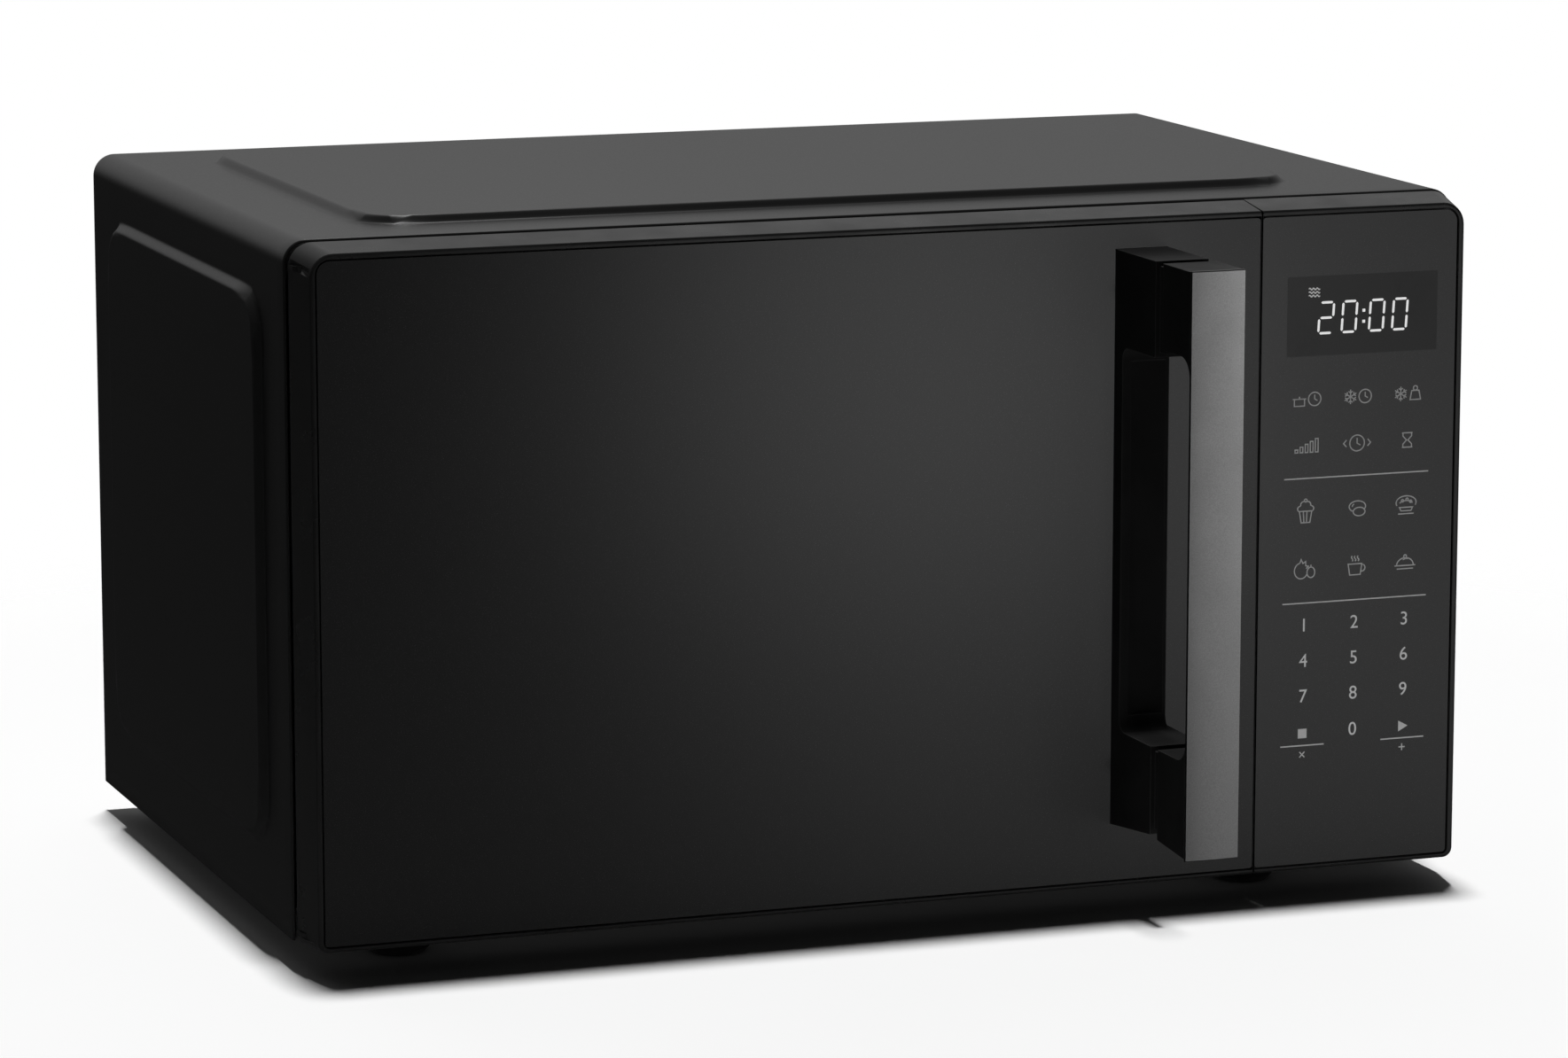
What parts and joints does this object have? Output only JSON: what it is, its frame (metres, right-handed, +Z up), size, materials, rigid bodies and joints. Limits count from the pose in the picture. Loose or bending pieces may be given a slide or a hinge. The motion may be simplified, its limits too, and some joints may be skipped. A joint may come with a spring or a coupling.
{
  "type": "microwave oven",
  "caption": "Countertop microwave oven with a side-hinged black glass door, upright pull handle, touch control panel and glass turntable.",
  "frame": {"origin": "on the floor, under the middle of the whole oven with its handle and rear spacer", "axes": "+Z up, the front faces -Y, +X to the right seen from the front"},
  "size_m": [0.489, 0.402, 0.284],
  "materials": {
    "painted_cover": "satin dark grey powder coat",
    "galvanised": "zinc-coated sheet",
    "cavity_paint": "light grey baked enamel",
    "front_enamel": "dark enamel",
    "choke_steel": "black coated perforated steel",
    "frame_plastic": "glossy black",
    "matte_black": "fine grain",
    "inner_trim": "satin black",
    "black_glass": "polished, dark tinted",
    "clear_film": "clear sheet",
    "tray_glass": "pressed clear glass",
    "lamp_glass": "clear bulb",
    "strip_metal": "brushed, dark silver",
    "screw_steel": "zinc plated",
    "hinge_steel": "stamped steel",
    "spring_steel": "spring wire",
    "foot_rubber": "matt",
    "white_plastic": "moulded nylon",
    "grey_plastic": "moulded",
    "board_green": "solder mask",
    "sensor_film": "polyester film",
    "mica": "mica sheet",
    "copper_tube": "drawn copper and fins",
    "magnet_black": "ferrite",
    "core_steel": "varnished laminations",
    "winding_wire": "enamelled wire",
    "can_aluminium": "drawn can",
    "motor_steel": "plated can",
    "bakelite": "moulded phenolic"
  },
  "bodies": {
    "root": {"cabinet_cover": "painted_cover", "cabinet_screws": "screw_steel", "base_plate": "galvanised", "foot_front_left": "foot_rubber", "foot_front_right": "foot_rubber", "foot_rear_left": "foot_rubber", "foot_rear_right": "foot_rubber", "rear_panel": "galvanised", "rear_spacer": "matte_black", "cord_gland": "matte_black", "oven_cavity": "cavity_paint", "waveguide_cover": "mica", "front_plate": "front_enamel", "lower_hinge": "hinge_steel", "upper_hinge": "hinge_steel", "control_frame": "frame_plastic", "control_glass": "black_glass", "touch_sensor": "sensor_film", "display_module": "matte_black", "control_board": "board_green", "interlock_bracket": "white_plastic", "microswitches": "matte_black", "turntable_motor": "motor_steel", "waveguide": "galvanised", "magnetron_yoke": "galvanised", "magnetron_tube": "copper_tube", "magnetron_magnets": "magnet_black", "magnetron_filter": "galvanised", "inverter_tray": "grey_plastic", "inverter_board": "board_green", "inverter_core": "magnet_black", "inverter_windings": "winding_wire", "heat_sink": "can_aluminium", "fan_shroud": "grey_plastic", "fan_motor": "core_steel", "air_duct": "white_plastic", "lamp_holder": "white_plastic", "cavity_lamp": "lamp_glass", "thermal_cutouts": "bakelite", "filter_board": "board_green"},
    "door": {"door_frame": "frame_plastic", "door_glass": "black_glass", "door_choke_frame": "choke_steel", "door_inner_film": "clear_film", "choke_cover": "inner_trim", "handle_base": "matte_black", "handle_lower_block": "matte_black", "handle_upper_block": "matte_black", "handle_strip": "strip_metal", "handle_screws": "screw_steel", "latch_spring": "spring_steel"},
    "latch": {"latch_hook": "white_plastic"},
    "turntable": {"drive_coupler": "white_plastic"},
    "tray": {"glass_tray": "tray_glass"},
    "roller_ring": {"roller_ring": "white_plastic"},
    "roller_a": {"roller_a": "grey_plastic"},
    "roller_b": {"roller_b": "grey_plastic"},
    "roller_c": {"roller_c": "grey_plastic"},
    "fan": {"fan_blade": "grey_plastic"},
    "plungers": {"switch_plungers": "white_plastic"}
  },
  "joints": [
    {"name": "door_hinge", "type": "hinge", "parent": "root", "child": "door", "pos_m": [-0.2365, -0.1137, 0.14], "axis": [0, 0, 1], "range_deg": [-100, 0]},
    {"name": "latch_slide", "type": "slide", "parent": "door", "child": "latch", "axis": [0, 0, 1], "range_m": [0, 0.004], "stiffness_N_per_m": 150, "springref_m": -0.01, "deforming": ["latch_spring"]},
    {"name": "turntable_spin", "type": "hinge", "parent": "root", "child": "turntable", "pos_m": [-0.048, 0.0395, 0.04], "axis": [0, 0, 1], "continuous": true},
    {"name": "tray_lift", "type": "slide", "parent": "turntable", "child": "tray", "axis": [0, 0, 1], "range_m": [0, 0.03]},
    {"name": "roller_ring_spin", "type": "hinge", "parent": "root", "child": "roller_ring", "pos_m": [-0.048, 0.0395, 0.0413], "axis": [0, 0, 1], "continuous": true},
    {"name": "roller_a_spin", "type": "hinge", "parent": "roller_ring", "child": "roller_a", "pos_m": [0.034, 0.0395, 0.0413], "axis": [1, 0, 0], "continuous": true},
    {"name": "roller_b_spin", "type": "hinge", "parent": "roller_ring", "child": "roller_b", "pos_m": [-0.089, 0.11051, 0.0413], "axis": [-0.5, 0.866, 0], "continuous": true},
    {"name": "roller_c_spin", "type": "hinge", "parent": "roller_ring", "child": "roller_c", "pos_m": [-0.089, -0.03151, 0.0413], "axis": [-0.5, -0.866, 0], "continuous": true},
    {"name": "fan_spin", "type": "hinge", "parent": "root", "child": "fan", "pos_m": [0.182, 0.174, 0.12], "axis": [0, 1, 0], "continuous": true},
    {"name": "plunger_slide", "type": "slide", "parent": "root", "child": "plungers", "axis": [0, -1, 0], "range_m": [0, 0.0011]}
  ],
  "couplings": [
    {"joint": "roller_ring_spin", "follows": "turntable_spin", "ratio": 0.5},
    {"joint": "roller_a_spin", "follows": "turntable_spin", "ratio": -5.125},
    {"joint": "roller_b_spin", "follows": "turntable_spin", "ratio": -5.125},
    {"joint": "roller_c_spin", "follows": "turntable_spin", "ratio": -5.125},
    {"joint": "plunger_slide", "follows": "door_hinge", "m_per_rad": -0.0006}
  ]
}
